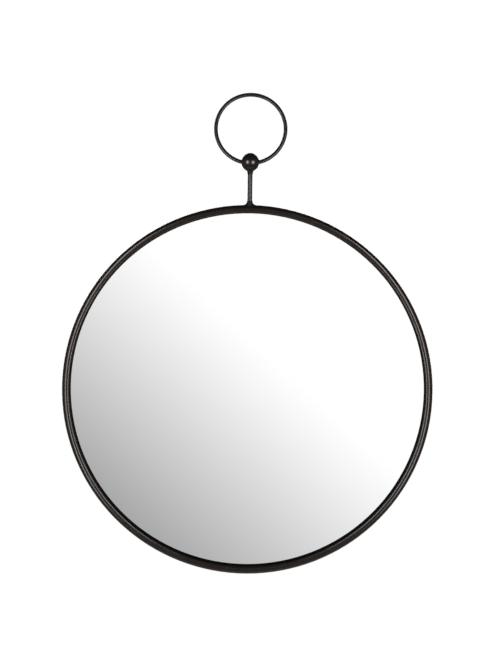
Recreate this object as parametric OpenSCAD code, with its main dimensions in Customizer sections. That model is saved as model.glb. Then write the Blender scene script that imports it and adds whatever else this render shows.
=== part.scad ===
// Round wall mirror in a rolled tube frame, with a stem, a ball and a hanging ring on top.
// The origin is the centre of the disc on the wall plane. +Z is up, and the mirror faces -Y.
// A depth is a distance in front of the wall plane, and an angle runs from +X towards +Z.

/* [Frame] */
// Outer diameter of the tube ring
frame_d = 600; // [420:10:900]
// Diameter of the frame tube
tube_d = 13.5; // [11:0.1:18]
// Wall of the frame tube
tube_wall = 1.2; // [0.8:0.1:2]
// Thickness of the flat bar welded on edge behind the tube
band_t = 2; // [1.5:0.5:2.5]

/* [Glass and back] */
// Thickness of the mirror glass
glass_t = 4; // [3:1:6]
// How far the glass reaches behind the tube, past the edge that shows
glass_lap = 5.5; // [4:0.5:6]
// Width of the ground arris on the edges of the glass
glass_arris = 0.5; // [0.3:0.1:0.8]
// Gap between the edge of the glass and the band
glass_side_gap = 1.7; // [1:0.1:2]
// Thickness of the foam between the glass and the board
foam_t = 1; // [0.5:0.5:3]
// How far the foam stays inside the smaller of the two discs it lies between
foam_inset = 2; // [1:1:10]
// Thickness of the backing board
board_t = 9; // [8:1:15]
// Gap between the edge of the board and the legs of the tabs
board_side_gap = 0.5; // [0.3:0.1:1]
// Distance from the back of the board to the wall
back_recess = 6.5; // [6:0.5:12]

/* [Retaining tabs] */
// Number of tabs that hold the board in the band
tab_count = 8; // [6:1:12]
// Width of a tab along the band
tab_w = 12; // [8:1:20]
// Thickness of the tab sheet
tab_t = 1; // [0.8:0.1:1.5]
// Length of the leg that lies on the band, from the outside of the fold
tab_leg = 8; // [5:1:9]
// Reach of the folded end over the board, from the band
tab_reach = 13; // [8:1:20]
// Radius on the inside of the fold
tab_bend_r = 0.6; // [0.4:0.1:1]

/* [Stem and ball] */
// Diameter of the stem rod
stem_d = 8; // [5:0.5:10]
// Length of the stem from the top of the frame to the underside of the ball
stem_len = 53.5; // [30:0.5:90]
// Radius of the hollow of the weld at the foot of the stem
foot_weld_r = 7; // [5:0.5:9]
// Radius of the hollow of the weld under the ball
neck_weld_r = 4.5; // [4:0.5:9]
// Diameter of the ball
ball_d = 30; // [26:0.1:36]
// Depth of the stem's socket, from the underside of the ball
stem_socket = 8; // [5:0.5:9]

/* [Hanging ring] */
// Diameter of the wire
wire_d = 6.3; // [4:0.1:7]
// Diameter of the ring, to the middle of its wire
ring_d = 112; // [90:1:150]
// How far the circle of the ring passes below the centre of the ball
ring_drop = 1.5; // [0:0.5:3]
// Gap between the top of the ring, which leans back, and the wall
ring_wall_gap = 1; // [0.5:0.5:5]
// Depth of each side socket in the ball, along the wire
wire_socket = 8; // [5:0.5:9]
// Clearance all round a rod or wire in its socket
socket_clearance = 0.1; // [0.05:0.05:0.2]

/* [Hangers] */
// Distance between the two hangers
hanger_spacing = 340; // [200:10:380]
// Height of the D-rings' bars above the centre of the mirror
hanger_height = 150; // [80:5:160]
// Width of a strap
strap_w = 12; // [10:1:14]
// Thickness of one layer of the strap
strap_t = 1; // [0.8:0.1:1.2]
// Gap between the two layers of the folded sheet
layer_gap = 0.05; // [0.02:0.01:0.1]
// Length of a strap below the centre of its eye
strap_len = 41; // [38:1:60]
// Angle of the top layer where it leaves the eye
strap_lean = 35; // [30:1:45]
// Clearance all round the D-ring's bar in the eye
eye_clearance = 0.1; // [0.05:0.01:0.1]
// Depths of the two screws below the centre of the eye
screw_drops = [12.5, 33];

/* [D-rings] */
// Diameter of the D-ring's wire
dring_wire = 3; // [2.5:0.1:3.2]
// Width of the opening of a D-ring
dring_inner = 22; // [20:1:26]
// Radius of its two corners, to the middle of the wire
dring_corner = 4; // [3:0.5:5]
// Length of its straight sides
dring_side = 6; // [4:1:10]
// Gap that is left between the hanging D-ring and its strap
dring_gap = 0.3; // [0.2:0.1:0.5]

/* [Screws] */
// Diameter of the shank
screw_d = 3.5; // [3:0.1:4]
// Diameter of the countersunk head
screw_head_d = 7; // [6:0.1:7.5]
// Height of the straight rim of the head
screw_rim = 0.2; // [0.1:0.1:0.2]
// Length under the surface of the strap
screw_len = 9.5; // [6:0.5:10]
// Length of the point
screw_point = 2.5; // [1.5:0.5:3]
// Clearance all round the shank in the strap
screw_clearance = 0.2; // [0.1:0.1:0.3]

/* [Hidden] */
$fn = 96;
tab_names = [for (i = [1:tab_count]) str("retaining_tab_", i)];

black_metal = [0.16, 0.15, 0.145];
weld_metal = [0.12, 0.11, 0.105];
zinc = [0.72, 0.72, 0.70];
mirror_silver = [0.88, 0.90, 0.91];
foam_white = [0.93, 0.93, 0.90];
fibreboard = [0.55, 0.41, 0.27];

overlap = 1; // how far a cutter runs past the face that it cuts

// Radii of the discs and rings about the mirror's axis
tube_r = tube_d / 2;
tube_ring_r = frame_d / 2 - tube_r;
glass_r = frame_d / 2 - tube_d + glass_lap;
glass_face_r = glass_r - glass_arris;
band_inner_r = glass_r + glass_side_gap;
board_r = band_inner_r - tab_t - board_side_gap;
foam_r = min(glass_r, board_r) - foam_inset;

// Depths in front of the wall plane
board_back = back_recess;
board_front = board_back + board_t;
glass_back = board_front + foam_t;
glass_front = glass_back + glass_t;
// The glass touches the tube's back where its flat face ends, short of the tube's crest
seat_offset = max(0, tube_ring_r - glass_face_r);
tube_depth = glass_front + sqrt(pow(tube_r, 2) - pow(seat_offset, 2));

// Heights of the finial, which stands in the tube's plane
stem_r = stem_d / 2;
ball_r = ball_d / 2;
ball_z = frame_d / 2 + stem_len + ball_r;
stem_top_z = ball_z - ball_r + stem_socket;
ring_r = ring_d / 2;
wire_r = wire_d / 2;
bead_edge = 0.3; // thickness of a weld where it runs out on the rod

// The ring leans back about the ball's centre, as far as the gap at its top allows
ring_to_ball = ring_r - ring_drop;
ring_lean = asin((tube_depth - wire_r - ring_wall_gap) / (ring_r + ring_to_ball));
// The ring's circle crosses the ball's surface at this angle from the ring's lowest point
entry_angle = acos(
    (pow(ring_r, 2) + pow(ring_to_ball, 2) - pow(ball_r, 2)) / (2 * ring_r * ring_to_ball)
);
socket_angle = wire_socket / ring_r * 180 / PI;

// Hanger strap and D-ring, in the plane across the strap: x away from the board, y up
eye_bore_r = dring_wire / 2 + eye_clearance;
eye_outer_r = eye_bore_r + strap_t;
eye_step = 0.02; // step between a layer's face and the eye's, so that no two faces are tangent
eye_centre = eye_outer_r + eye_step;
strap_stack = 2 * strap_t + layer_gap;
dring_r = (dring_inner + dring_wire) / 2;
dring_bar_half = dring_r - dring_corner;
// The bow lies on the strap, so the D-ring hangs with its bow pushed out by this angle
bow_drop = dring_corner + dring_side + sqrt(pow(dring_r, 2) - pow(strap_w / 2, 2));
bow_lift = strap_stack + dring_gap + dring_wire / 2 - eye_centre;
dring_tilt = asin(bow_lift / bow_drop);

// Turns a profile drawn as [radius, depth] about the mirror's axis
module about_axis(start = 0, sweep = 360) {
    rotate([90, 0, 0])
        rotate_extrude(angle = sweep, start = start)
            children();
}

// The space that the frame tube fills, without its bore
module tube_space() {
    about_axis()
        translate([tube_ring_r, tube_depth])
            circle(r = tube_r);
}

module frame_tube() {
    color(black_metal)
        about_axis()
            translate([tube_ring_r, tube_depth])
                difference() {
                    circle(r = tube_r);
                    circle(r = tube_r - tube_wall);
                }
}

// Flat bar on edge: its back edge stands on the wall, and its front edge is coped to the tube
module rebate_band() {
    color(black_metal)
        about_axis()
            difference() {
                translate([band_inner_r, 0])
                    square([band_t, tube_depth]);
                translate([tube_ring_r, tube_depth])
                    circle(r = tube_r);
            }
}

module mirror_glass() {
    color(mirror_silver)
        about_axis()
            translate([0, glass_back])
                polygon([
                    [0, 0],
                    [glass_face_r, 0],
                    [glass_r, glass_arris],
                    [glass_r, glass_t - glass_arris],
                    [glass_face_r, glass_t],
                    [0, glass_t]
                ]);
}

module foam_sheet() {
    color(foam_white)
        rotate([90, 0, 0])
            translate([0, 0, board_front])
                cylinder(r = foam_r, h = foam_t);
}

module backing_board() {
    color(fibreboard)
        difference() {
            rotate([90, 0, 0])
                translate([0, 0, board_back])
                    cylinder(r = board_r, h = board_t);
            all_screws(drive = false);
        }
}

// L-shaped sheet tab: the leg lies on the inside of the band, and the end is folded over the board
module retaining_tab(i) {
    sweep = tab_w / band_inner_r * 180 / PI;
    middle = 360 * (i - 0.5) / tab_count;
    outer_bend_r = tab_bend_r + tab_t;
    fold_depth = board_back - tab_t;
    color(black_metal)
        about_axis(middle - sweep / 2, sweep)
            translate([band_inner_r, fold_depth]) {
                translate([-tab_t, outer_bend_r])
                    square([tab_t, tab_leg - outer_bend_r]);
                translate([-tab_reach, 0])
                    square([tab_reach - outer_bend_r, tab_t]);
                translate([-outer_bend_r, outer_bend_r])
                    intersection() {
                        difference() {
                            circle(r = outer_bend_r);
                            circle(r = tab_bend_r);
                        }
                        translate([0, -outer_bend_r])
                            square(outer_bend_r);
                    }
            }
}

// Height of the tube's outer surface over the point [x, y] of the finial's own plan
function tube_top(x, y) =
    sqrt(pow(tube_ring_r + sqrt(pow(tube_r, 2) - pow(y, 2)), 2) - pow(x, 2));

// Saddle weld between the round stem and the tube that it crosses: along the tube it runs out
// to the radius of its hollow, and across the tube it stops short of the tube's side. Its skin is
// a grid that goes down the hollow, back in along the tube, and up the stem.
module stem_weld() {
    steps = 32;
    hollow_rows = 8;
    under_rows = 3;
    rows = hollow_rows + under_rows + 2;
    along = stem_r + foot_weld_r;
    across = min(along, 0.85 * tube_r);
    top_r = stem_r + bead_edge;
    top_z = frame_d / 2 + foot_weld_r;
    bend_r = top_r + 0.35;
    bend_rise = 0.5;
    // flat facets stay outside the round stem, and clear of the round tube
    stem_side = stem_r / cos(180 / steps);
    seat = 0.03;

    function seat_z(r, a) = tube_top(r * cos(a), r * sin(a)) + seat;
    function hollow(t, from, bend, to) =
        pow(1 - t, 2) * from + 2 * t * (1 - t) * bend + pow(t, 2) * to;
    // One point of the skin as [radius, height], in the direction a
    function skin(j, a, reach) =
        j <= hollow_rows
            ? let (t = j / hollow_rows) [
                hollow(t, top_r, bend_r, reach),
                hollow(t, top_z, seat_z(bend_r, a) + bend_rise, seat_z(reach, a))
            ]
        : j <= hollow_rows + under_rows
            ? let (r = reach + (stem_side - reach) * (j - hollow_rows) / under_rows)
                [r, seat_z(r, a)]
        : [stem_side, top_z];

    points = [for (j = [0:rows - 2]) for (k = [0:steps - 1])
        let (
            a = 360 * k / steps,
            reach = 1 / sqrt(pow(cos(a) / along, 2) + pow(sin(a) / across, 2)),
            p = skin(j, a, reach)
        )
        [p[0] * cos(a), p[0] * sin(a), p[1]]];
    faces = [for (j = [0:rows - 2]) for (k = [0:steps - 1])
        let (
            n = (k + 1) % steps,
            here = j * steps,
            next = (j + 1) % (rows - 1) * steps
        )
        each [
            [here + k, here + n, next + k],
            [here + n, next + n, next + k]
        ]];
    color(weld_metal)
        translate([0, -tube_depth, 0])
            polyhedron(points, faces);
}

// The stem's rod from the middle of the tube to the bottom of the ball's socket
module stem_rod() {
    translate([0, -tube_depth, tube_ring_r])
        cylinder(r = stem_r, h = stem_top_z - tube_ring_r);
}

module finial_stem() {
    color(black_metal)
        difference() {
            stem_rod();
            tube_space();
        }
}

// Hollow weld in the corner between the ball and the stem
module neck_weld() {
    bite = 0.15; // how far the hollow cuts into the ball's outline, so that the edge isn't a feather
    hollow_x = stem_r + bead_edge + neck_weld_r;
    hollow_reach = ball_r + neck_weld_r - bite;
    hollow_z = -sqrt(pow(hollow_reach, 2) - pow(hollow_x, 2));
    edge = ball_r / hollow_reach;
    color(weld_metal)
        translate([0, -tube_depth, ball_z])
            rotate_extrude()
                difference() {
                    translate([stem_r, hollow_z])
                        square([edge * hollow_x - stem_r, (edge - 1) * hollow_z]);
                    circle(r = ball_r);
                    translate([hollow_x, hollow_z])
                        circle(r = neck_weld_r);
                }
}

// Puts the ring's centre above the ball, in the ring's own leaning plane
module at_ring() {
    translate([0, -tube_depth, ball_z])
        rotate([-ring_lean, 0, 0])
            translate([0, 0, ring_to_ball])
                children();
}

// A straight socket drilled along the stretch of wire that goes into the ball. The wire keeps its
// bend, so the drill is wider than the wire by the rise of that stretch, and goes a little deeper.
module wire_hole() {
    chord = 2 * ring_r * sin(socket_angle / 2);
    chord_distance = ring_r * cos(socket_angle / 2);
    rise = ring_r - chord_distance;
    deeper = wire_r * tan(socket_angle / 2) + socket_clearance;
    at_ring()
        rotate([0, -(entry_angle - socket_angle / 2), 0])
            translate([-chord / 2 - deeper, 0, -chord_distance - rise / 2])
                rotate([0, 90, 0])
                    cylinder(r = wire_r + socket_clearance + rise / 2, h = chord + deeper + wire_d);
}

module finial_ball() {
    color(black_metal)
        difference() {
            translate([0, -tube_depth, ball_z])
                sphere(r = ball_r);
            translate([0, -tube_depth, ball_z - ball_r - overlap])
                cylinder(r = stem_r + socket_clearance, h = stem_socket + overlap);
            for (side = [0, 1])
                mirror([side, 0, 0])
                    wire_hole();
        }
}

module hanging_ring() {
    end_angle = entry_angle - socket_angle;
    color(black_metal)
        at_ring()
            rotate([90, 0, 0])
                rotate_extrude(angle = 360 - 2 * end_angle, start = end_angle - 90)
                    translate([ring_r, 0])
                        circle(r = wire_r);
}

// Puts a hanger's own plane on the back of the board: x across, y away from the board, z up
module at_hanger(side) {
    translate([side * hanger_spacing / 2, -board_back, hanger_height])
        children();
}

// Extrudes an outline drawn from the strap's side, as [distance from the board, height]
module across_strap() {
    rotate([90, 0, 90])
        translate([0, 0, -strap_w / 2])
            linear_extrude(strap_w)
                children();
}

// The sheet folded round the D-ring's bar: the flat layer on the board, the eye, and the top layer
// that leans down to it. Each layer runs a little way into the eye, a step inside its surface.
module folded_sheet() {
    run_in = 0.3;
    down = [-sin(strap_lean), -cos(strap_lean)];
    out = [cos(strap_lean), -sin(strap_lean)];
    eye = [eye_centre, 0];
    outside = eye + (eye_outer_r - eye_step) * out;
    inside = eye + (eye_bore_r + eye_step) * out;
    outside_end = outside + (outside[0] - strap_stack) / sin(strap_lean) * down;
    inside_end = inside + (inside[0] - strap_t - layer_gap) / sin(strap_lean) * down;
    far = 2 * eye_outer_r;
    across_strap()
        translate([0, -strap_len])
            square([strap_t, strap_len + run_in]);
    across_strap()
        polygon([
            inside - run_in * down,
            outside - run_in * down,
            outside_end,
            [strap_stack, -strap_len],
            [strap_t + layer_gap, -strap_len],
            inside_end
        ]);
    across_strap()
        translate(eye)
            difference() {
                circle(r = eye_outer_r);
                circle(r = eye_bore_r);
                // the open side of the eye, between the two layers
                polygon([[0, 0], [-far, 0], [-far, -far], [0, -far], far * out]);
            }
}

// The strap's outline seen from behind, with its round lower end
module strap_plan() {
    rotate([90, 0, 0])
        translate([0, 0, -2 * eye_outer_r - overlap])
            linear_extrude(2 * eye_outer_r + 2 * overlap) {
                translate([-strap_w / 2 - overlap, strap_w / 2 - strap_len])
                    square([strap_w + 2 * overlap, strap_len + eye_outer_r]);
                translate([0, strap_w / 2 - strap_len])
                    circle(d = strap_w);
            }
}

module hanger_strap(side) {
    color(zinc)
        difference() {
            at_hanger(side)
                intersection() {
                    folded_sheet();
                    strap_plan();
                }
            for (drop = screw_drops)
                at_screw(side, drop) {
                    screw_body(drive = false);
                    translate([0, 0, -strap_stack - overlap])
                        cylinder(d = screw_d + 2 * screw_clearance, h = strap_stack + overlap);
                }
        }
}

// Puts a screw's own axis through the strap: z = 0 is the strap's surface, and -z goes into the board
module at_screw(side, drop) {
    at_hanger(side)
        translate([0, strap_stack, -drop])
            rotate([-90, 0, 0])
                children();
}

module screw_body(drive = true) {
    cone = (screw_head_d - screw_d) / 2;
    slot_l = 0.6 * screw_head_d;
    slot_w = 0.16 * screw_head_d;
    slot_depth = 0.2 * screw_head_d;
    difference() {
        rotate_extrude()
            polygon([
                [0, 0],
                [screw_head_d / 2, 0],
                [screw_head_d / 2, -screw_rim],
                [screw_d / 2, -screw_rim - cone],
                [screw_d / 2, screw_point - screw_len],
                [0, -screw_len]
            ]);
        if (drive)
            for (turn = [0, 90])
                rotate([0, 0, turn])
                    translate([-slot_l / 2, -slot_w / 2, -slot_depth])
                        cube([slot_l, slot_w, slot_depth + overlap]);
    }
}

module all_screws(drive = true) {
    for (side = [-1, 1])
        for (drop = screw_drops)
            at_screw(side, drop)
                screw_body(drive);
}

module hanger_screws() {
    color(zinc)
        all_screws();
}

// D-ring hanging down from its straight bar, which lies along x through the strap's eye
module dring_shape() {
    rotate([0, 90, 0])
        translate([0, 0, -dring_bar_half])
            cylinder(d = dring_wire, h = 2 * dring_bar_half);
    for (side = [0, 1])
        mirror([side, 0, 0]) {
            translate([dring_bar_half, 0, -dring_corner])
                rotate([90, 0, 0])
                    rotate_extrude(angle = 90, start = 0)
                        translate([dring_corner, 0])
                            circle(d = dring_wire);
            translate([dring_r, 0, -dring_corner - dring_side])
                cylinder(d = dring_wire, h = dring_side);
        }
    translate([0, 0, -dring_corner - dring_side])
        rotate([90, 0, 0])
            rotate_extrude(angle = 180, start = 180)
                translate([dring_r, 0])
                    circle(d = dring_wire);
}

module hanger_ring(side) {
    color(zinc)
        at_hanger(side)
            translate([0, eye_centre, 0])
                rotate([dring_tilt, 0, 0])
                    dring_shape();
}

frame_tube();
rebate_band();
mirror_glass();
foam_sheet();
backing_board();
for (i = [1:tab_count])
    retaining_tab(i);
stem_weld();
finial_stem();
neck_weld();
finial_ball();
hanging_ring();
hanger_strap(-1);  // hanger_strap_left
hanger_strap(1);  // hanger_strap_right
hanger_screws();
hanger_ring(-1);  // hanger_ring_left
hanger_ring(1);  // hanger_ring_right
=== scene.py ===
"""Dresses the packed round wall mirror: finishes for its parts, its weld beads, and a plain studio.

The CAD nodes stay where the frame puts them and get node materials. The welds are modelled here as
rippled beads. All lengths are in metres, in the same frame as the CAD: the mirror faces -Y, +Z is up.
"""

import math

import bpy
from mathutils import Matrix, Vector


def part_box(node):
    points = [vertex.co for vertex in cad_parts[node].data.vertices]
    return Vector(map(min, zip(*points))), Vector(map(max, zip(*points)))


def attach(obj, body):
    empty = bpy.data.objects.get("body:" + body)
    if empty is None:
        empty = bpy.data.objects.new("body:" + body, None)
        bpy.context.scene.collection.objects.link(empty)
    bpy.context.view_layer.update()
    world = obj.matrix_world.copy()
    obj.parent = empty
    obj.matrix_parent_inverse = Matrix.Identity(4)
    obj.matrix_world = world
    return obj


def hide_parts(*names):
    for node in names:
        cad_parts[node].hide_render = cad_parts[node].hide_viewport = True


bl_info = {
    "name": "Round Wall Mirror",
    "version": (1, 0, 0),
    "blender": (4, 5, 0),
    "location": "3D View > Sidebar > Wall Mirror",
    "description": "Finishes, weld beads and studio for a round wall mirror with a hanging ring",
    "category": "Object",
}

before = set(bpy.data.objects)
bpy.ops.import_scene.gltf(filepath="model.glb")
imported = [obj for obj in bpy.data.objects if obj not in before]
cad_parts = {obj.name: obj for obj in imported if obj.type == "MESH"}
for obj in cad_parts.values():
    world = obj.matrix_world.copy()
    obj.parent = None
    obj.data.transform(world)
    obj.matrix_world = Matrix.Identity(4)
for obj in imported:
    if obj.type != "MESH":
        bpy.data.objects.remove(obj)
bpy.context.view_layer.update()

MM = 0.001
TURN = 2 * math.pi

# sizes that no box of a node gives
BAND_THICKNESS = 2 * MM
BEAD_EDGE = 0.3 * MM  # how far a weld stands out where it ends on the stem
TUCK = 0.05 * MM  # how far a bead's own edge lies inside what it is laid on


# ---------------------------------------------------------------- settings


class PaintSettings(bpy.types.PropertyGroup):
    """The satin coat on the frame, the stem, the ball and the ring"""

    colour: bpy.props.FloatVectorProperty(
        name="Paint colour",
        description="Colour of the satin coat",
        default=(0.0066, 0.0052, 0.0046),
        size=3,
        min=0.0,
        max=1.0,
        subtype="COLOR",
    )
    high_colour: bpy.props.FloatVectorProperty(
        name="Thin coat colour",
        description="Colour where the coat is thinner",
        default=(0.0100, 0.0082, 0.0072),
        size=3,
        min=0.0,
        max=1.0,
        subtype="COLOR",
    )
    roughness: bpy.props.FloatProperty(
        name="Roughness",
        description="Roughness of the coat, before its own variation",
        default=0.22,
        min=0.05,
        max=1.0,
        subtype="FACTOR",
    )
    sheen: bpy.props.FloatVectorProperty(
        name="Sheen",
        description="Tint of the coat's reflections",
        default=(1.0, 0.92, 0.87),
        size=3,
        min=0.0,
        max=1.0,
        subtype="COLOR",
    )
    peel_depth: bpy.props.FloatProperty(
        name="Orange peel",
        description="Depth of the fine unevenness of the coat",
        default=0.0012 * MM,
        min=0.0,
        max=0.1 * MM,
        unit="LENGTH",
        precision=6,
    )
    bare_colour: bpy.props.FloatVectorProperty(
        name="Bare steel",
        description="Colour of the steel where the coat has rubbed off",
        default=(0.20, 0.19, 0.18),
        size=3,
        min=0.0,
        max=1.0,
        subtype="COLOR",
    )


class WeldSettings(bpy.types.PropertyGroup):
    """The beads that join the frame's parts"""

    # darker than the paint, partly as painted shade in the corners that the beads fill
    colour: bpy.props.FloatVectorProperty(
        name="Weld colour",
        description="Colour of the coat where it lies over a weld",
        default=(0.0036, 0.0029, 0.0026),
        size=3,
        min=0.0,
        max=1.0,
        subtype="COLOR",
    )
    ripple_pitch: bpy.props.FloatProperty(
        name="Ripple pitch",
        description="Distance from one ripple of a bead to the next",
        default=1.3 * MM,
        min=0.5 * MM,
        max=3 * MM,
        unit="LENGTH",
        precision=5,
    )
    ripple_height: bpy.props.FloatProperty(
        name="Ripple height",
        description="Height of the ripples on a bead",
        default=0.09 * MM,
        min=0.0,
        max=0.4 * MM,
        unit="LENGTH",
        precision=6,
    )
    stitch_count: bpy.props.IntProperty(
        name="Stitches",
        description="Number of short beads that hold the flat bar to the tube",
        default=12,
        min=4,
        max=32,
    )
    stitch_length: bpy.props.FloatProperty(
        name="Stitch length",
        description="Length of each of those beads",
        default=20 * MM,
        min=5 * MM,
        max=60 * MM,
        unit="LENGTH",
    )
    wire: bpy.props.FloatProperty(
        name="Ring wire",
        description="Diameter of the hanging ring's wire, which the beads in the ball's sides go round",
        default=6.3 * MM,
        min=3 * MM,
        max=9 * MM,
        unit="LENGTH",
    )


class BackSettings(bpy.types.PropertyGroup):
    """The glass, the board behind it and the hangers"""

    silver: bpy.props.FloatVectorProperty(
        name="Silvering",
        description="Colour of the mirror's reflection",
        default=(0.968, 0.972, 0.970),
        size=3,
        min=0.0,
        max=1.0,
        subtype="COLOR",
    )
    ground_edge: bpy.props.FloatVectorProperty(
        name="Ground edge",
        description="Colour of the ground edge of the glass",
        default=(0.36, 0.47, 0.42),
        size=3,
        min=0.0,
        max=1.0,
        subtype="COLOR",
    )
    board: bpy.props.FloatVectorProperty(
        name="Fibreboard",
        description="Colour of the backing board",
        default=(0.300, 0.187, 0.098),
        size=3,
        min=0.0,
        max=1.0,
        subtype="COLOR",
    )
    foam: bpy.props.FloatVectorProperty(
        name="Foam",
        description="Colour of the foam between the glass and the board",
        default=(0.86, 0.86, 0.82),
        size=3,
        min=0.0,
        max=1.0,
        subtype="COLOR",
    )
    zinc: bpy.props.FloatVectorProperty(
        name="Zinc plating",
        description="Colour of the plated straps and D-rings",
        default=(0.56, 0.57, 0.57),
        size=3,
        min=0.0,
        max=1.0,
        subtype="COLOR",
    )
    screws: bpy.props.FloatVectorProperty(
        name="Screws",
        description="Colour of the screws, whose plating is yellower",
        default=(0.50, 0.45, 0.33),
        size=3,
        min=0.0,
        max=1.0,
        subtype="COLOR",
    )


class StageSettings(bpy.types.PropertyGroup):
    """The studio that the mirror is seen in"""

    distance: bpy.props.FloatProperty(
        name="Camera distance",
        description="Distance from the camera to the middle of the object",
        default=4.0,
        min=1.0,
        max=10.0,
        unit="LENGTH",
    )
    rise: bpy.props.FloatProperty(
        name="Camera rise",
        description="Angle at which the camera looks down",
        default=math.radians(5.0),
        min=math.radians(-30),
        max=math.radians(60),
        unit="ROTATION",
    )
    roll: bpy.props.FloatProperty(
        name="Camera roll",
        description="Turn of the camera about its line of sight",
        default=math.radians(0.77),
        min=math.radians(-5),
        max=math.radians(5),
        unit="ROTATION",
    )
    aim: bpy.props.FloatVectorProperty(
        name="Camera aim",
        description="Point that the camera looks at",
        default=(0.0032, 0.0, 0.0887),
        size=3,
        unit="LENGTH",
        subtype="XYZ",
    )
    lens: bpy.props.FloatProperty(
        name="Lens",
        description="Focal length in millimetres, on a sensor 36 mm high",
        default=132.38,
        min=20.0,
        max=300.0,
    )
    floor_z: bpy.props.FloatProperty(
        name="Floor height",
        description="Height of the floor, below the mirror's centre",
        default=-1.0,
        min=-3.0,
        max=-0.31,
        unit="LENGTH",
    )
    floor_radius: bpy.props.FloatProperty(
        name="Floor radius",
        description="Radius of the round floor, which fades out before its rim",
        default=2.3,
        min=1.0,
        max=10.0,
        unit="LENGTH",
    )
    lamp_angle: bpy.props.FloatProperty(
        name="Lamp angle",
        description="Angle from the camera's side to each of the two front lamps",
        default=math.radians(34.0),
        min=math.radians(10),
        max=math.radians(80),
        unit="ROTATION",
    )
    lamp_distance: bpy.props.FloatProperty(
        name="Lamp distance",
        description="Distance from the mirror to the front lamps",
        default=0.92,
        min=0.5,
        max=6.0,
        unit="LENGTH",
    )
    lamp_power: bpy.props.FloatProperty(
        name="Lamp power",
        description="Power of each front lamp",
        default=7.3,
        min=0.0,
        max=500.0,
        unit="POWER",
    )


# ---------------------------------------------------------------- shader expressions


class Shade:
    """A socket in a node tree. Arithmetic on it adds Math nodes, so patterns are written as sums."""

    def __init__(self, tree, socket=None):
        self.tree = tree
        self.socket = socket

    def node(self, kind, settings=None, inputs=None, output=0):
        """Adds one node: its settings come first, then the values or links of its sockets."""
        made = self.tree.nodes.new("ShaderNode" + kind)
        for name, value in (settings or {}).items():
            setattr(made, name, value)
        for key, value in (inputs or {}).items():
            if isinstance(value, Shade):
                self.tree.links.new(value.socket, made.inputs[key])
            else:
                made.inputs[key].default_value = value
        return Shade(self.tree, made.outputs[output] if len(made.outputs) else None)

    def maths(self, operation, *values):
        """One Math node on these values."""
        return self.node("Math", {"operation": operation}, dict(enumerate(values)))

    def __add__(self, other):
        return self.maths("ADD", self, other)

    def __radd__(self, other):
        return self.maths("ADD", other, self)

    def __sub__(self, other):
        return self.maths("SUBTRACT", self, other)

    def __rsub__(self, other):
        return self.maths("SUBTRACT", other, self)

    def __mul__(self, other):
        return self.maths("MULTIPLY", self, other)

    def __rmul__(self, other):
        return self.maths("MULTIPLY", other, self)

    def __truediv__(self, other):
        return self.maths("DIVIDE", self, other)

    def __pow__(self, other):
        return self.maths("POWER", self, other)

    def abs(self):
        return self.maths("ABSOLUTE", self)

    def least(self, other):
        return self.maths("MINIMUM", self, other)

    def most(self, other):
        return self.maths("MAXIMUM", self, other)

    def above(self, limit):
        """1 where the value is over the limit, else 0, with no slope between."""
        return self.maths("GREATER_THAN", self, limit)

    def ease(self, low, high):
        """0 at low and 1 at high, with a smooth step between. High may be the smaller."""
        turned = high < low
        made = self.node(
            "MapRange",
            {"interpolation_type": "SMOOTHSTEP"},
            {"Value": self, "From Min": min(low, high), "From Max": max(low, high)},
        )
        return 1 - made if turned else made

    def scaled(self, amounts):
        """The vector, stretched along X, Y and Z."""
        return self.node("VectorMath", {"operation": "MULTIPLY"}, {0: self, 1: amounts})

    def moved(self, amounts):
        """The vector, with amounts added along X, Y and Z."""
        return self.node("VectorMath", {"operation": "ADD"}, {0: self, 1: amounts})

    def noise(self, scale, detail, roughness):
        """Cloudy unevenness around 0.5. The scale counts its features in one metre."""
        return self.node(
            "TexNoise",
            inputs={"Vector": self, "Scale": scale, "Detail": detail, "Roughness": roughness},
        )

    def cells(self, scale):
        """Distance to the nearest of many scattered points, as a share of their spacing. The scale
        counts them in one metre."""
        return self.node("TexVoronoi", inputs={"Vector": self, "Scale": scale})

    def part(self, axis):
        """X, Y or Z of the vector."""
        return self.node("SeparateXYZ", inputs={"Vector": self}, output=axis)

    def reach(self, axes):
        """Length of the vector's part along two axes."""
        first, second = (self.part(axis) for axis in axes)
        return (first * first + second * second) ** 0.5


def colour4(colour):
    """The colour with full opacity, as a colour socket takes it."""
    return (*colour, 1.0)


def toned(colour, share):
    """The colour made darker, or lighter where the share is over 1."""
    return tuple(channel * share for channel in colour)


# the Mix node's sockets for colours, which share their names with its other sockets
COLOUR_A, COLOUR_B, COLOUR_RESULT = 6, 7, 2


def blend_colours(mask, low, high):
    """Low where the mask is 0 and high where it is 1. Each may be a colour or a Shade."""
    low, high = (c if isinstance(c, Shade) else colour4(c) for c in (low, high))
    inputs = {0: mask, COLOUR_A: low, COLOUR_B: high}
    return mask.node("Mix", {"data_type": "RGBA"}, inputs, COLOUR_RESULT)


def new_finish(name):
    """A new material, its node tree without a shader, and the object coordinates in metres."""
    material = bpy.data.materials.new(name)
    material.use_nodes = True
    tree = material.node_tree
    tree.nodes.clear()
    shade = Shade(tree)
    at = shade.node("TexCoord", output="Object")
    return material, shade, at


# a dull black that barely reflects, used as painted shade
PAINTED_SHADE_BLACK = {"Base Color": (0.004, 0.004, 0.004, 1.0), "Roughness": 0.8, "IOR": 1.12}


def close_finish(shade, height, depth, dull=None, **sockets):
    """Puts the surface shader on a tree. Height is the bump, and depth what a height of 1 stands for.
    Where the mask dull is 1, the surface is a dull black instead, which paints shade."""
    inputs = {name.replace("_", " "): value for name, value in sockets.items()}
    inputs["Normal"] = shade.node(
        "Bump", inputs={"Strength": 1.0, "Distance": depth, "Height": height}
    )
    surface = shade.node("BsdfPrincipled", inputs=inputs)
    if dull is not None:
        flat = shade.node("BsdfPrincipled", inputs=PAINTED_SHADE_BLACK)
        surface = shade.node("MixShader", inputs={0: dull, 1: surface, 2: flat})
    shade.node("OutputMaterial", inputs={"Surface": surface})


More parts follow.
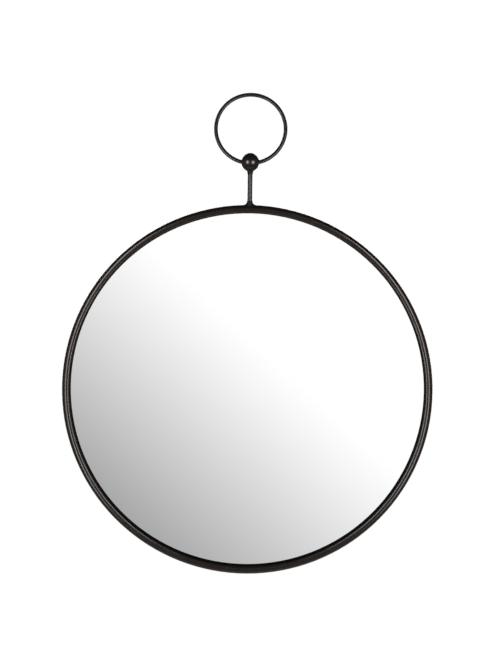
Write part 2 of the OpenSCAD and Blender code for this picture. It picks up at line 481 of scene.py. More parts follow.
def nodes_named(*starts):
    """The CAD nodes whose names start so."""
    return sorted(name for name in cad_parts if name.startswith(starts))


def dress(material, *nodes):
    """Gives CAD nodes a material. Their meshes and places stay as packed."""
    for name in nodes:
        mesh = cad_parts[name].data
        if not mesh.materials:
            mesh.materials.append(material)
        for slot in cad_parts[name].material_slots:
            slot.material = material


# ---------------------------------------------------------------- sizes read from the frame


def centre_and_reach(node):
    """The middle of a node's box, and how far the box reaches from it."""
    low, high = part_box(node)
    return (low + high) / 2, (high - low) / 2


class Sizes:
    """The frame's own sizes, measured on the packed nodes."""

    def __init__(self):
        tube_centre, tube_reach = centre_and_reach("frame_tube")
        self.frame_r = tube_reach.x
        self.tube_r = tube_reach.y
        self.tube_y = tube_centre.y
        self.tube_ring_r = self.frame_r - self.tube_r
        self.band_r = centre_and_reach("rebate_band")[1].x
        self.band_inner_r = self.band_r - BAND_THICKNESS
        self.stem_r = centre_and_reach("finial_stem")[1].x
        ball_centre, ball_reach = centre_and_reach("finial_ball")
        self.ball_r = ball_reach.x
        self.ball = Vector((0.0, self.tube_y, ball_centre.z))


SIZE = Sizes()


# ---------------------------------------------------------------- mesh code


def loft(rings, close_rings=False):
    """A skin over rings of points. Where the last ring isn't joined to the first, both are capped."""
    count = len(rings[0])
    points = [point for ring in rings for point in ring]
    faces = []
    last = len(rings) if close_rings else len(rings) - 1
    for j in range(last):
        here, there = j * count, (j + 1) % len(rings) * count
        for k in range(count):
            n = (k + 1) % count
            faces.append((here + k, here + n, there + n, there + k))
    if not close_rings:
        faces.append(tuple(reversed(range(count))))
        faces.append(tuple(range(len(points) - count, len(points))))
    return points, faces


def piece(name, parts, material, body="root", instead_of=()):
    """One object from several skins, riding on a body, with the given material."""
    points, faces = [], []
    for part_points, part_faces in parts:
        offset = len(points)
        points += [tuple(point) for point in part_points]
        faces += [tuple(offset + i for i in face) for face in part_faces]
    mesh = bpy.data.meshes.new(name)
    mesh.from_pydata(points, [], faces)
    mesh.validate()
    for polygon in mesh.polygons:
        polygon.use_smooth = True
    mesh.materials.append(material)
    made = bpy.data.objects.new(name, mesh)
    bpy.context.scene.collection.objects.link(made)
    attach(made, body)
    if instead_of:
        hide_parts(*instead_of)


def ripple(phase):
    """Height of a weld's ripples, from 0 in the valleys to 1 on the crests."""
    return abs(math.sin(math.pi * phase)) ** 0.7


def curve_point(start, bend, end, t):
    """A point of the smooth curve from start to end that leans towards the bend."""
    return (1 - t) ** 2 * start + 2 * t * (1 - t) * bend + t**2 * end


def tube_top(x, y):
    """Height of the frame tube's outer surface over a point, with y from the tube's middle."""
    crest = SIZE.tube_ring_r + math.sqrt(SIZE.tube_r**2 - y**2)
    return math.sqrt(crest**2 - x**2)


def round_steps(count):
    """The angles of a full turn, in equal steps."""
    return [TURN * k / count for k in range(count)]


def rise_and_fall(share, flatness):
    """0 at both ends of a bead and 1 in its middle, the longer the higher the flatness."""
    return max(1 - abs(2 * share - 1) ** flatness, 0.0) ** 0.5


def round_stem(radius, angle, z):
    """A point at a radius about the stem's axis."""
    return (radius * math.cos(angle), SIZE.tube_y + radius * math.sin(angle), z)


def foot_bead(welds):
    """The saddle weld at the foot of the stem. It flares along the tube, and its sides stay on it."""
    low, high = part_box("stem_weld")
    along, across, top_z = high.x, (high.y - low.y) / 2, high.z
    top_r = SIZE.stem_r + BEAD_EDGE
    bend_r = top_r + 0.35 * MM
    bend_rise = 0.5 * MM
    middle_r = SIZE.stem_r + 2.5 * MM
    side_limit = 0.99 * SIZE.tube_r
    tuck_share, tuck_depth = 0.97, 0.25 * MM
    directions, rows = 192, 18
    count = round(TURN * middle_r / welds.ripple_pitch)
    rings = []
    for j in range(rows + 1):
        t = j / rows
        ring = []
        for a in round_steps(directions):
            reach = 1 / math.hypot(math.cos(a) / along, math.sin(a) / across)
            lift = ripple(count * a / TURN + 0.9 * t) * math.sin(math.pi * t) ** 0.8
            lift *= 0.7 * welds.ripple_height
            r = curve_point(top_r, bend_r, reach, t) + lift
            r = min(r, side_limit / max(abs(math.sin(a)), 0.01))
            bend_z, end_z = (
                tube_top(s * math.cos(a), s * math.sin(a)) for s in (bend_r, reach)
            )
            z = curve_point(top_z, bend_z + bend_rise, end_z, t) + lift
            ring.append(round_stem(r, a, z))
        rings.append(ring)
    rings.append(
        [
            (tuck_share * x, SIZE.tube_y + tuck_share * (y - SIZE.tube_y), z - tuck_depth)
            for x, y, z in rings[-1]
        ]
    )
    return loft(rings)


def neck_bead(welds):
    """The hollow weld in the corner between the stem and the ball."""
    low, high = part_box("neck_weld")
    # the thin toe of the bead runs down the stem; its dark coat there is also painted shadow of the
    # ball
    run_down = 2.2 * MM  # along the stem, from the solid that the bead replaces
    start = Vector((SIZE.stem_r + BEAD_EDGE, low.z - run_down))
    end_z = SIZE.ball.z - math.sqrt(SIZE.ball_r**2 - high.x**2)
    end = Vector((high.x, end_z))
    bend = Vector((start.x, start.y + 0.62 * (end.y - start.y)))
    middle_r = SIZE.stem_r + 1.5 * MM
    inner_r = 0.95 * SIZE.stem_r
    directions, rows = 144, 14
    count = round(TURN * middle_r / welds.ripple_pitch)
    rings = []
    for j in range(rows + 1):
        t = j / rows
        profile = curve_point(start, bend, end, t)
        ring = []
        for a in round_steps(directions):
            lift = ripple(count * a / TURN + 0.6 * t) * math.sin(math.pi * t)
            ring.append(round_stem(profile.x + welds.ripple_height * lift, a, profile.y))
        rings.append(ring)
    # back down inside the stem's surface
    for z in (end_z + 0.2 * MM, start.y + TUCK):
        rings.append([round_stem(inner_r, a, z) for a in round_steps(directions)])
    return loft(rings, close_rings=True)


class RingPlace:
    """Where the hanging ring lies: it leans back about the ball's centre."""

    def __init__(self, wire_r):
        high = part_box("hanging_ring")[1]
        back = high.y - wire_r - SIZE.ball.y
        up = high.z - wire_r - SIZE.ball.z
        self.wire_r = wire_r
        self.radius = high.x - wire_r
        self.lean = math.atan2(back, up)
        self.to_ball = math.hypot(back, up) - self.radius

    def point(self, x, height):
        """A point of the ring's plane, with its height along the leaning plane."""
        return SIZE.ball + Vector(
            (x, height * math.sin(self.lean), height * math.cos(self.lean))
        )


def socket_bead(place, side, welds):
    """A thin bead round the wire, where it goes into the ball's side."""
    entry = math.acos(
        (place.radius**2 + place.to_ball**2 - SIZE.ball_r**2)
        / (2 * place.radius * place.to_ball)
    )
    middle = place.point(
        side * place.radius * math.sin(entry), place.to_ball - place.radius * math.cos(entry)
    )
    outwards = place.point(side * math.cos(entry), math.sin(entry)) - SIZE.ball
    across = place.point(side * math.sin(entry), -math.cos(entry)) - SIZE.ball
    normal = outwards.cross(across)
    bead_r, ripple_share = 0.55 * MM, 0.6
    steps, sides = 72, 10
    count = round(TURN * place.wire_r / welds.ripple_pitch)
    rings = []
    for a in round_steps(steps):
        spoke = math.cos(a) * normal + math.sin(a) * across
        start = middle + place.wire_r * spoke - SIZE.ball
        # slide along the wire to the ball's surface
        half = start.dot(outwards)
        slide = -half + math.sqrt(half**2 - start.length_squared + SIZE.ball_r**2)
        point = SIZE.ball + start + slide * outwards
        r = bead_r + ripple_share * welds.ripple_height * ripple(count * a / TURN)
        rings.append(
            [
                point + r * (math.cos(b) * spoke + math.sin(b) * outwards)
                for b in round_steps(sides)
            ]
        )
    return loft(rings, close_rings=True)


def polar(radius, depth, angle):
    """A point at a radius about the mirror's axis, a depth in front of the wall, and an angle."""
    return (radius * math.cos(angle), -depth, radius * math.sin(angle))


def stitch_bead(angle, length, welds):
    """A short bead in the corner between the flat bar's outside and the back of the tube."""
    leg, crown_height, ripple_share = 2.6 * MM, 0.75 * MM, 1.3
    root_depth = 0.1 * MM
    tube_depth = -SIZE.tube_y
    corner = math.atan2(
        -math.sqrt(SIZE.tube_r**2 - (SIZE.band_r - SIZE.tube_ring_r) ** 2),
        SIZE.band_r - SIZE.tube_ring_r,
    )
    corner_depth = tube_depth + SIZE.tube_r * math.sin(corner)
    on_tube = corner + leg / SIZE.tube_r
    start = Vector((SIZE.band_r - TUCK, corner_depth - leg))
    end = Vector(
        (
            SIZE.tube_ring_r + (SIZE.tube_r - TUCK) * math.cos(on_tube),
            tube_depth + (SIZE.tube_r - TUCK) * math.sin(on_tube),
        )
    )
    root = Vector((SIZE.band_r - root_depth, corner_depth + root_depth))
    outwards = ((start + end) / 2 - root).normalized()
    steps, sides = 84, 9
    rings = []
    for k in range(steps + 1):
        s = k / steps
        swell = rise_and_fall(s, 5)
        around = angle + (s - 0.5) * length / SIZE.band_r
        ring = []
        for i in range(sides):
            t = i / (sides - 1)
            # crescents, so that the middle of each ripple runs ahead of its sides
            phase = s * length / welds.ripple_pitch + 0.5 * math.sin(math.pi * t)
            crown = crown_height + ripple_share * welds.ripple_height * ripple(phase)
            bend = (start + end) / 2 + 2 * crown * outwards
            spot = root + swell * (curve_point(start, bend, end, t) - root)
            ring.append(polar(spot.x, spot.y, around))
        ring.append(polar(root.x, root.y, around))
        rings.append(ring)
    return loft(rings)


def cross_bead(angle, welds):
    """The bead across the outside of the flat bar, where its two ends meet."""
    width, height = 3.4 * MM, 0.45 * MM
    edge_depth, root_depth = 0.03 * MM, 0.3 * MM
    first, last = 0.7 * MM, -SIZE.tube_y - 8.6 * MM
    length = last - first
    steps, sides = 72, 9
    rings = []
    for k in range(steps + 1):
        s = k / steps
        swell = rise_and_fall(s, 7)
        depth = first + s * length
        ring = []
        for i in range(sides):
            t = 2 * i / (sides - 1) - 1
            phase = s * length / welds.ripple_pitch + 0.4 * (1 - t * t)
            crown = height + welds.ripple_height * ripple(phase)
            r = SIZE.band_r - edge_depth + swell * crown * (1 - t * t)
            ring.append(polar(r, depth, angle + swell * t * width / 2 / SIZE.band_r))
        ring.append(polar(SIZE.band_r - root_depth, depth, angle))
        rings.append(ring)
    return loft(rings)


def tab_bead(node, welds):
    """The short bead in the groove between a tab's fold and the flat bar that the tab is welded to."""
    centre = centre_and_reach(node)[0]
    angle = math.atan2(centre.z, centre.x)
    fold_depth = -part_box(node)[1].y
    length, bead_r, ripple_share = 6.5 * MM, 1.15 * MM, 0.8
    middle_r = SIZE.band_inner_r - 0.55 * MM
    middle_depth = fold_depth + 0.85 * MM
    steps, sides = 40, 12
    rings = []
    for k in range(steps + 1):
        s = k / steps
        around = angle + (s - 0.5) * length / SIZE.band_inner_r
        lift = ripple_share * welds.ripple_height * ripple(s * length / welds.ripple_pitch)
        r = rise_and_fall(s, 3) * (bead_r + lift)
        rings.append(
            [
                polar(middle_r + r * math.cos(b), middle_depth + r * math.sin(b), around)
                for b in round_steps(sides)
            ]
        )
    return loft(rings)


# ---------------------------------------------------------------- finishes


def satin_paint(name, paint, extra_roughness):
    """Near-black satin coat: uneven in thickness, finely pebbled, and rubbed at the bar's back edge."""
    material, shade, at = new_finish(name)
    patches = at.noise(38.0, detail=4.0, roughness=0.6)
    clouds = at.noise(190.0, detail=3.0, roughness=0.55)
    peel = at.noise(420.0, detail=2.0, roughness=0.5)
    grit = at.cells(620.0).ease(0.16, 0.05)
    y = at.part("Y")
    thin = (0.6 * patches + 0.4 * clouds).ease(0.40, 0.68)
    coat = blend_colours(thin, paint.colour, paint.high_colour)
    coat = blend_colours(grit * 0.5, coat, toned(paint.colour, 0.6))
    # the bar's edge rubs on the wall
    chafing = at.noise(130.0, detail=6.0, roughness=0.78)
    rubbed = y.ease(-0.35 * MM, -0.05 * MM) * chafing.ease(0.56, 0.70)
    coat = blend_colours(rubbed * 0.55, coat, paint.bare_colour)
    # painted shade: on the tube's flank beside the glass the coat turns to a dull black that barely
    # reflects
    inner = at.reach("XZ").ease(SIZE.tube_ring_r + 0.3 * MM, SIZE.tube_ring_r - 1.0 * MM)
    dull = inner * y.ease(SIZE.tube_y - 0.66 * SIZE.tube_r, SIZE.tube_y - 0.48 * SIZE.tube_r)
    close_finish(
        shade,
        peel + clouds * 1.4 - grit * 0.35,
        paint.peel_depth,
        dull,
        Base_Color=coat,
        Roughness=paint.roughness + extra_roughness + 0.10 * patches + 0.10 * rubbed,
        Metallic=0.0,
        IOR=1.5,
        Specular_Tint=colour4(paint.sheen),
    )
    return material


def folded_paint(paint):
    """The same coat on the tabs: folding them over the board has crazed it along the bend."""
    material, shade, at = new_finish("folded_tab_paint")
    inward = SIZE.band_inner_r - at.reach("XZ")
    patches = at.noise(240.0, detail=3.0, roughness=0.6)
    crazing = at.noise(1400.0, detail=4.0, roughness=0.75)
    # bare steel shows along the bend and on the sheared end
    bend = inward.ease(4.5 * MM, 0.6 * MM)
    end = inward.ease(12.2 * MM, 13.0 * MM)
    bare = bend * crazing.ease(0.50, 0.62) + end * crazing.ease(0.42, 0.56)
    bare = bare.least(1.0)
    coat = blend_colours(patches.ease(0.35, 0.7), paint.colour, paint.high_colour)
    close_finish(
        shade,
        patches - bare * 0.8,
        0.02 * MM,
        Base_Color=blend_colours(bare * 0.85, coat, paint.bare_colour),
        Roughness=paint.roughness + 0.08 + 0.10 * patches + 0.10 * bare,
        Metallic=bare * 0.7,
        IOR=1.5,
    )
    return material


def weld_paint(paint, welds):
    """The same coat over a weld: darker and less even in patches, the darker colour partly painted
    shade.
    """
    material, shade, at = new_finish("painted_weld")
    patches = at.noise(240.0, detail=4.0, roughness=0.6)
    scale = at.noise(1500.0, detail=3.0, roughness=0.6)
    spatter = at.cells(900.0).ease(0.22, 0.06)
    coat = blend_colours(patches.ease(0.35, 0.7), welds.colour, paint.colour)
    coat = blend_colours(spatter * 0.35, coat, paint.high_colour)
    close_finish(
        shade,
        scale * 0.6 + patches * 2.0 + spatter * 0.8,
        4.0 * paint.peel_depth,
        Base_Color=coat,
        Roughness=0.34 + 0.16 * patches + 0.05 * scale,
        Metallic=0.0,
        IOR=1.26,
    )
    return material


def silvered_glass(back):
    """A clean mirror face. The ground edge and the back of the glass are matt."""
    material, shade, at = new_finish("silvered_glass")
    face_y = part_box("mirror_glass")[0].y
    face = 1 - at.part("Y").above(face_y + 0.01 * MM)
    shift = at.noise(6.0, detail=2.0, roughness=0.5)
    silver = blend_colours(shift.ease(0.3, 0.7), toned(back.silver, 0.994), back.silver)
    grinding = at.scaled((1.0, 6.0, 1.0)).noise(900.0, detail=3.0, roughness=0.6)
    edge = blend_colours(grinding, toned(back.ground_edge, 0.75), back.ground_edge)
    close_finish(
        shade,
        grinding * (1 - face),
        0.02 * MM,
        Base_Color=blend_colours(face, edge, silver),
        Roughness=(1 - face) * (0.32 + 0.25 * grinding),
        Metallic=face,
        IOR=1.52,
    )
    return material


def pressed_foam(back):
    """Closed-cell foam sheet."""
    material, shade, at = new_finish("foam_sheet")
    bubbles = at.cells(700.0)
    wash = at.noise(60.0, detail=3.0, roughness=0.5)
    tone = blend_colours(bubbles.ease(0.1, 0.6), toned(back.foam, 0.86), back.foam)
    close_finish(
        shade,
        bubbles,
        0.12 * MM,
        Base_Color=blend_colours(wash.ease(0.3, 0.7) * 0.5, tone, toned(back.foam, 0.93)),
        Roughness=0.82 + 0.12 * wash,
    )
    return material


def fibreboard(back):
    """Medium-density board: pressed fibres, a burnished face, and a darker sawn rim."""
    material, shade, at = new_finish("fibreboard")
    board_r = centre_and_reach("backing_board")[1].x
    out = at.reach("XZ")
    rim = out.above(board_r - 0.25 * MM)
    fibres = at.scaled((1.0, 3.0, 1.0)).noise(520.0, detail=6.0, roughness=0.72)
    strands = at.scaled((0.35, 1.0, 1.6)).noise(760.0, detail=4.0, roughness=0.65)
    flecks = at.cells(330.0).ease(0.17, 0.05)
    pressing = at.noise(14.0, detail=5.0, roughness=0.62)
    streaks = at.scaled((7.0, 1.0, 60.0)).noise(1.0, detail=5.0, roughness=0.68)
    chips = at.cells(70.0).ease(0.085, 0.03)
    sawn = at.scaled((1.0, 14.0, 1.0)).noise(420.0, detail=3.0, roughness=0.7)
    # darker in patches over the last 26 mm towards the board's rim
    darker_near_rim = out.ease(board_r - 26 * MM, board_r) * pressing
    tone = blend_colours(fibres.ease(0.32, 0.70), toned(back.board, 0.72), back.board)
    for mask, share in (
        (strands.ease(0.58, 0.74) * 0.55, 1.38),
        (flecks * 0.55, 0.42),
        (pressing.ease(0.35, 0.7) * 0.42, 1.30),
        (streaks.ease(0.48, 0.72) * 0.30, 0.62),
        (chips * 0.45, 0.50),
        (rim * (0.45 + 0.4 * sawn), 0.45),
        (darker_near_rim * 0.45, 0.60),
    ):
        tone = blend_colours(mask, tone, toned(back.board, share))
    close_finish(
        shade,
        fibres * 0.7 + strands * 0.5 - flecks * 0.3 + sawn * rim * 1.5,
        0.07 * MM,
        Base_Color=tone,
        Roughness=0.66 + 0.16 * fibres + 0.08 * rim,
    )
    return material


SLOT_DEPTH_DARK = (0.03, 0.027, 0.022)
PASSIVATED = (1.03, 0.985, 0.90)  # how the passivation tints the zinc


def zinc_plate(colour, name, grain, slots=False):
    """Bright zinc plating: rolling lines along the grain, cloudy passivation and a few dull spots.
    Where the piece has slots, they turn darker and rougher the deeper they go."""
    material, shade, at = new_finish(name)
    lines = at.scaled(grain).noise(1.0, detail=4.0, roughness=0.6)
    clouds = at.noise(170.0, detail=4.0, roughness=0.6)
    spots = at.cells(260.0).ease(0.20, 0.04) * clouds.ease(0.45, 0.6)
    warm = tuple(channel * tint for channel, tint in zip(colour, PASSIVATED))
    tone = blend_colours(clouds.ease(0.35, 0.68), colour, warm)
    tone = blend_colours(lines.ease(0.35, 0.75) * 0.30, tone, toned(colour, 0.74))
    tone = blend_colours(spots * 0.55, tone, toned(colour, 0.80))
    roughness = 0.27 + 0.12 * clouds + 0.10 * lines + 0.22 * spots
    metal = 1 - 0.35 * spots
    if slots:
        head_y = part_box("hanger_screws")[1].y
        deep = at.part("Y").ease(head_y - 0.35 * MM, head_y - 1.1 * MM)
        tone = blend_colours(deep * 0.8, tone, SLOT_DEPTH_DARK)
        roughness = roughness + 0.3 * deep
    close_finish(
        shade,
        lines * 0.8 + clouds * 0.4,
        0.010 * MM,
        Base_Color=tone,
        Roughness=roughness,
        Metallic=metal,
    )
    return material


# ---------------------------------------------------------------- operators


class StepOperator(bpy.types.Operator):
    """What every step has in common"""

    bl_options = {"REGISTER", "UNDO"}


class WALL_MIRROR_OT_paint_frame(StepOperator):
    """Paint the tube, the flat bar, the stem, the ball and the hanging ring"""

    bl_idname = "wall_mirror.paint_frame"
    bl_label = "Paint the Frame"

    def execute(self, context):
        paint = context.scene.wall_mirror_paint
        coat = satin_paint("satin_black_paint", paint, extra_roughness=-0.03)
        dress(coat, "frame_tube", "rebate_band", "finial_stem", "finial_ball")
        # the coat flows out less smoothly on the thin wire
        dress(satin_paint("wire_paint", paint, extra_roughness=0.05), "hanging_ring")
        return {"FINISHED"}


class WALL_MIRROR_OT_lay_beads(StepOperator):
    """Lay the weld beads at the stem, under the ball, round the ring's ends and on the flat bar"""

    bl_idname = "wall_mirror.lay_beads"
    bl_label = "Lay the Weld Beads"

    def execute(self, context):
        welds = context.scene.wall_mirror_welds
        coat = weld_paint(context.scene.wall_mirror_paint, welds)
        dress(coat, "stem_weld", "neck_weld")
        piece("stem_foot_bead", [foot_bead(welds)], coat, instead_of=["stem_weld"])
        piece("ball_neck_bead", [neck_bead(welds)], coat, instead_of=["neck_weld"])
        place = RingPlace(welds.wire / 2)
        piece(
            "ring_socket_beads",
            [socket_bead(place, side, welds) for side in (-1, 1)],
            coat,
        )
        half_step = math.pi / welds.stitch_count
        stitches = [
            stitch_bead(a + half_step, welds.stitch_length, welds)
            for a in round_steps(welds.stitch_count)
        ]
        piece("flat_bar_stitches", stitches, coat)
        piece("flat_bar_joint_bead", [cross_bead(-math.pi / 2, welds)], coat)
        tabs = [tab_bead(name, welds) for name in nodes_named("retaining_tab_")]
        piece("tab_beads", tabs, coat)
        return {"FINISHED"}


class WALL_MIRROR_OT_finish_glass(StepOperator):
    """Silver the glass and finish the foam behind it"""

    bl_idname = "wall_mirror.finish_glass"
    bl_label = "Finish the Glass"

    def execute(self, context):
        back = context.scene.wall_mirror_back
        dress(silvered_glass(back), "mirror_glass")
        dress(pressed_foam(back), "foam_sheet")
        return {"FINISHED"}


class WALL_MIRROR_OT_finish_back(StepOperator):
    """Finish the backing board and the tabs that hold it"""

    bl_idname = "wall_mirror.finish_back"
    bl_label = "Finish the Back"

    def execute(self, context):
        back = context.scene.wall_mirror_back
        dress(fibreboard(back), "backing_board")
        coat = folded_paint(context.scene.wall_mirror_paint)
        dress(coat, *nodes_named("retaining_tab_"))
        return {"FINISHED"}


class WALL_MIRROR_OT_finish_hangers(StepOperator):
    """Plate the straps, the screws and the D-rings"""

    bl_idname = "wall_mirror.finish_hangers"
    bl_label = "Finish the Hangers"

    def execute(self, context):
        back = context.scene.wall_mirror_back
        dress(
            zinc_plate(back.zinc, "zinc_strap", (2600.0, 2600.0, 90.0)),
            "hanger_strap_left",
            "hanger_strap_right",
        )
        dress(
            zinc_plate(back.zinc, "zinc_wire", (700.0, 1500.0, 1500.0)),
            "hanger_ring_left",
            "hanger_ring_right",
        )
        plating = zinc_plate(back.screws, "zinc_screw", (1300.0, 1300.0, 1300.0), slots=True)
        dress(plating, "hanger_screws")
        return {"FINISHED"}


class WALL_MIRROR_OT_build_stage(StepOperator):
    """Put up the floor, the lamps, the surroundings and the camera"""

    bl_idname = "wall_mirror.build_stage"
    bl_label = "Build the Stage"

    def execute(self, context):
        stage = context.scene.wall_mirror_stage
        add_floor(stage)
        add_lamps(stage)
        add_camera(context.scene, stage)
        add_surroundings(context.scene, stage)
        context.scene.view_settings.view_transform = "Standard"
        return {"FINISHED"}


# ---------------------------------------------------------------- stage


# The wall that the mirror's face shows to the camera: white, and darker from one point of the face
# towards the lower left. The point and the length are on the face, in metres. The loss is the share
# of a pixel's value that is gone over that length. It grows no more past DARKENS_UP_TO lengths.
WALL_WHITE, WALL_LOSS, WALL_CURVE = 1.04, 0.349, 1.18
DARKENS_FROM = (0.0206, 0.0786)
DARKENS_TOWARDS = (-0.667, -0.745)
DARKENS_OVER, DARKENS_UP_TO = 0.359, 1.2
PIXEL_GAMMA = 2.2
FACE_DEPTH = 0.02  # from the wall plane to the glass, rounded

# Ray depths over which the camera's sight has passed the mirror. The world counts one bounce more.
SURFACE_DEPTH, WORLD_DEPTH = 1.5, 2.5

FLOOR_MIDDLE_Y = -0.35
FLOOR_HUB = 0.05  # radius of the face in the middle of the floor
FLOOR_SIDES = 96

REAR_TURN, HIGH_TURN = math.radians(16), math.radians(24)  # from straight behind the mirror


def add_floor(stage):
    """A pale round floor that fades into the white background at its rim."""
    rings = [
        [
            (r * math.cos(a), FLOOR_MIDDLE_Y + r * math.sin(a), stage.floor_z)
            for a in round_steps(FLOOR_SIDES)
        ]
        for r in (FLOOR_HUB, stage.floor_radius)
    ]
    points, faces = loft(rings)
    mesh = bpy.data.meshes.new("studio_floor")
    # the last face would cap the rim
    mesh.from_pydata(points, [], faces[:-1])
    floor = bpy.data.objects.new("studio_floor", mesh)
    bpy.context.scene.collection.objects.link(floor)
    material, shade, at = new_finish("pale_floor")
    out = at.moved((0.0, -FLOOR_MIDDLE_Y, 0.0)).reach("XY")
    fade = 0.5 + 0.5 * out.ease(0.15 * stage.floor_radius, 0.80 * stage.floor_radius)
    seen = is_camera_ray(shade) + is_mirrored(shade, SURFACE_DEPTH)
    grain = at.noise(30.0, detail=4.0, roughness=0.6)
    plain = shade.node(
        "BsdfPrincipled",
        inputs={
            "Base Color": blend_colours(grain, (0.80, 0.80, 0.79), (0.84, 0.84, 0.83)),
            "Roughness": 0.75,
        },
    )
    white = shade.node("Emission", inputs={"Color": (1.0, 1.0, 1.0, 1.0), "Strength": 1.0})
    surface = shade.node("MixShader", inputs={0: fade * seen, 1: plain, 2: white})
    shade.node("OutputMaterial", inputs={"Surface": surface})
    mesh.materials.append(material)


def is_camera_ray(shade):
    """1 for what the camera sees straight."""
    return shade.node("LightPath", output="Is Camera Ray")


def is_mirrored(shade, depth_limit):
    """1 for what the camera sees in a clean mirror, up to a limit of bounces."""
    deep = shade.node("LightPath", output="Ray Depth").above(depth_limit)
    return shade.node("LightPath", output="Is Singular Ray") * (1 - deep)


def add_lamp(name, receivers, turn, height, distance, size, power, aim_z=None):
    """A soft lamp at a turn from the camera's side, a height and a distance from the mirror's axis. It
    faces the axis, level or down to the height aim_z, and lights only its receivers."""
    lamp = bpy.data.lights.new(name, "AREA")
    lamp.shape = "RECTANGLE"
    lamp.size, lamp.size_y = size
    lamp.energy = power
    made = bpy.data.objects.new(name, lamp)
    made.location = (distance * math.sin(turn), -distance * math.cos(turn), height)
    aim = Vector((0.0, 0.0, height if aim_z is None else aim_z)) - made.location
    made.rotation_euler = aim.to_track_quat("-Z", "Y").to_euler()
    made.visible_camera = False
    made.light_linking.receiver_collection = receivers
    bpy.context.scene.collection.objects.link(made)


def lit_nodes(name, state, *nodes):
    """What a lamp lights: only these nodes, or all but these."""
    lit = bpy.data.collections.new(name)
    for node in nodes:
        lit.objects.link(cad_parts[node])
    for entry in lit.collection_objects:
        entry.light_linking.link_state = state
    return lit


def add_lamps(stage):
    """Lamps in front and behind. The front lamps miss the glass and the flat bar, which would show
    them from aside."""
    back_nodes = nodes_named("backing", "retaining", "hanger")
    most = lit_nodes("lit_in_front", "EXCLUDE", "mirror_glass", "finial_ball", "rebate_band")
    ball = lit_nodes("lit_by_the_ball_lamps", "INCLUDE", "finial_ball")
    painted = lit_nodes("lit_from_behind", "EXCLUDE", *back_nodes)
    back = lit_nodes("lit_from_high_behind", "INCLUDE", *back_nodes)
    for side_name, side in (("left", -1), ("right", 1)):
        front = side * stage.lamp_angle
        add_lamp(
            "front_lamp_" + side_name, most, front,
            height=0.08, distance=stage.lamp_distance, size=(0.22, 1.14), power=stage.lamp_power,
        )
        # the ball shows two round lights, which stand further off
        add_lamp(
            "ball_lamp_" + side_name, ball, front,
            height=0.42, distance=2.1, size=(0.8, 0.95), power=34.0,
        )
        add_lamp(
            "rear_lamp_" + side_name, painted, math.pi + side * REAR_TURN,
            height=0.45, distance=3.0, size=(1.2, 1.8), power=36.0,
        )
        # higher lamps light the back, so that its flat metal doesn't mirror them to the viewer
        add_lamp(
            "high_lamp_" + side_name, back, math.pi + side * HIGH_TURN,
            height=2.2, distance=2.4, size=(1.2, 1.2), power=53.0, aim_z=0.05,
        )


def add_camera(scene, stage):
    """The camera at the photograph's viewing angle: it looks down a little and is slightly rolled."""
    data = bpy.data.cameras.new("photo_camera")
    data.sensor_width = 36.0
    data.lens = stage.lens
    data.clip_start, data.clip_end = 0.05, 60.0
    camera = bpy.data.objects.new("photo_camera", data)
    aim = Vector(stage.aim)
    sight = Vector((0.0, math.cos(stage.rise), -math.sin(stage.rise)))
    turn = sight.to_track_quat("-Z", "Y").to_matrix() @ Matrix.Rotation(stage.roll, 3, "Z")
    camera.matrix_world = Matrix.Translation(aim - stage.distance * sight) @ turn.to_4x4()
    scene.collection.objects.link(camera)
    scene.camera = camera


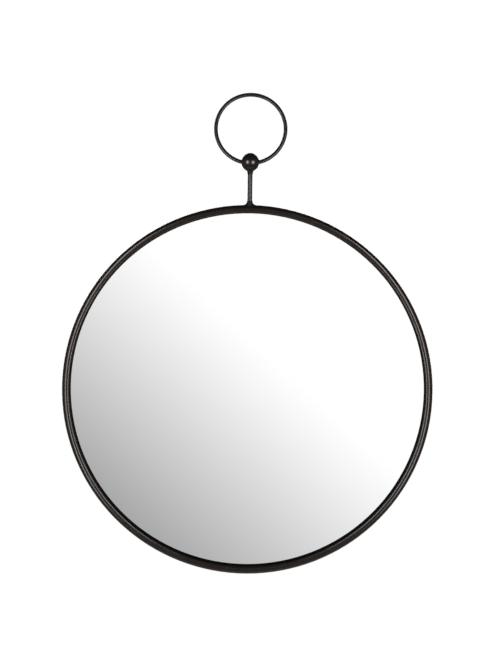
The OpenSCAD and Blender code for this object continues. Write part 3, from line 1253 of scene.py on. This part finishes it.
def add_surroundings(scene, stage):
    """White to the camera. Gloss sees a dim room, and the mirror's face a pale wall that darkens
    towards the lower left, as in the photograph."""
    world = bpy.data.worlds.new("studio")
    scene.world = world
    world.use_nodes = True
    world.node_tree.nodes.clear()
    shade = Shade(world.node_tree)
    x, y, z = (shade.node("TexCoord", output="Generated").part(axis) for axis in "XYZ")
    seen = is_camera_ray(shade)
    mirrored = is_mirrored(shade, WORLD_DEPTH)
    # where a line of sight meets a wall one metre in front of the mirror, as seen in the mirror
    ahead = y.abs().most(0.04)
    across, up = x / ahead, z / ahead
    eye = Vector(stage.aim) - stage.distance * Vector(
        (0.0, math.cos(stage.rise), -math.sin(stage.rise))
    )
    reach = abs(eye.y) - FACE_DEPTH
    from_x, from_z = (DARKENS_FROM[0] - eye.x) / reach, (DARKENS_FROM[1] - eye.z) / reach
    slope = (across - from_x) * DARKENS_TOWARDS[0] + (up - from_z) * DARKENS_TOWARDS[1]
    fall = (slope * (reach / DARKENS_OVER)).most(0.0).least(DARKENS_UP_TO) ** WALL_CURVE
    wall = WALL_WHITE * (1 - WALL_LOSS * fall) ** PIXEL_GAMMA
    # further round, a plain grey room
    aside = across.abs().ease(0.30, 0.75)
    room = 0.50 + 0.30 * up.ease(-0.3, 0.6)
    wall = wall * (1 - aside) + room * aside
    dim = 0.22 - 0.20 * z.ease(0.05, 0.75)
    tone = dim * (1 - mirrored) + wall * mirrored
    tone = tone * (1 - seen) + seen
    grey = shade.node("CombineColor", inputs={"Red": tone, "Green": tone, "Blue": tone})
    glow = shade.node("Background", inputs={"Color": grey, "Strength": 1.0})
    shade.node("OutputWorld", inputs={"Surface": glow})


# ---------------------------------------------------------------- panel and registration

STEPS = (
    WALL_MIRROR_OT_paint_frame,
    WALL_MIRROR_OT_lay_beads,
    WALL_MIRROR_OT_finish_glass,
    WALL_MIRROR_OT_finish_back,
    WALL_MIRROR_OT_finish_hangers,
    WALL_MIRROR_OT_build_stage,
)

SETTINGS = {
    "wall_mirror_paint": PaintSettings,
    "wall_mirror_welds": WeldSettings,
    "wall_mirror_back": BackSettings,
    "wall_mirror_stage": StageSettings,
}


class WALL_MIRROR_PT_sidebar(bpy.types.Panel):
    """Lists the steps that dress the mirror, and their settings"""

    bl_idname = "WALL_MIRROR_PT_sidebar"
    bl_label = "Round Wall Mirror"
    bl_space_type = "VIEW_3D"
    bl_region_type = "UI"
    bl_category = "Wall Mirror"

    def draw(self, context):
        for step in STEPS:
            self.layout.operator(step.bl_idname)
        for name, group in SETTINGS.items():
            box = self.layout.box()
            box.label(text=group.__doc__)
            settings = getattr(context.scene, name)
            for key in group.__annotations__:
                box.prop(settings, key)


def register():
    for group in SETTINGS.values():
        bpy.utils.register_class(group)
    for name, group in SETTINGS.items():
        setattr(bpy.types.Scene, name, bpy.props.PointerProperty(type=group))
    for step in STEPS:
        bpy.utils.register_class(step)
    bpy.utils.register_class(WALL_MIRROR_PT_sidebar)


def unregister():
    bpy.utils.unregister_class(WALL_MIRROR_PT_sidebar)
    for step in reversed(STEPS):
        bpy.utils.unregister_class(step)
    for name in SETTINGS:
        delattr(bpy.types.Scene, name)
    for group in reversed(SETTINGS.values()):
        bpy.utils.unregister_class(group)


def main():
    register()
    bpy.ops.wall_mirror.paint_frame()
    bpy.ops.wall_mirror.lay_beads()
    bpy.ops.wall_mirror.finish_glass()
    bpy.ops.wall_mirror.finish_back()
    bpy.ops.wall_mirror.finish_hangers()
    bpy.ops.wall_mirror.build_stage()


if __name__ == "__main__":
    main()
